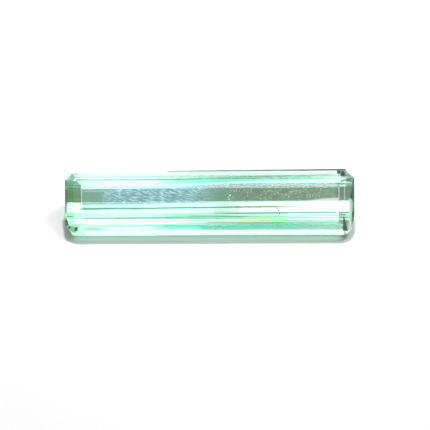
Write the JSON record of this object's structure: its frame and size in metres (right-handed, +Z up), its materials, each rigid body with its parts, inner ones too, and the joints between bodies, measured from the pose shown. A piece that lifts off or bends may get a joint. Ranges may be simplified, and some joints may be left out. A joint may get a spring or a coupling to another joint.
{
  "type": "tourmaline gemstone",
  "caption": "Long clear mint-green step-cut gemstone with cut corners, a wide flat table and a keeled pavilion, resting on a pavilion facet.",
  "frame": {"origin": "middle of the bounding box, on the floor that the stone rests on", "axes": "+X along the stone's length, +Z up, -Y towards the side that the table leans to"},
  "size_m": [0.02, 0.0038, 0.0036],
  "materials": {
    "tourmaline": "clear, polished, pale mint-green crystal"
  },
  "bodies": {
    "root": {"gemstone": "tourmaline"}
  },
  "joints": []
}
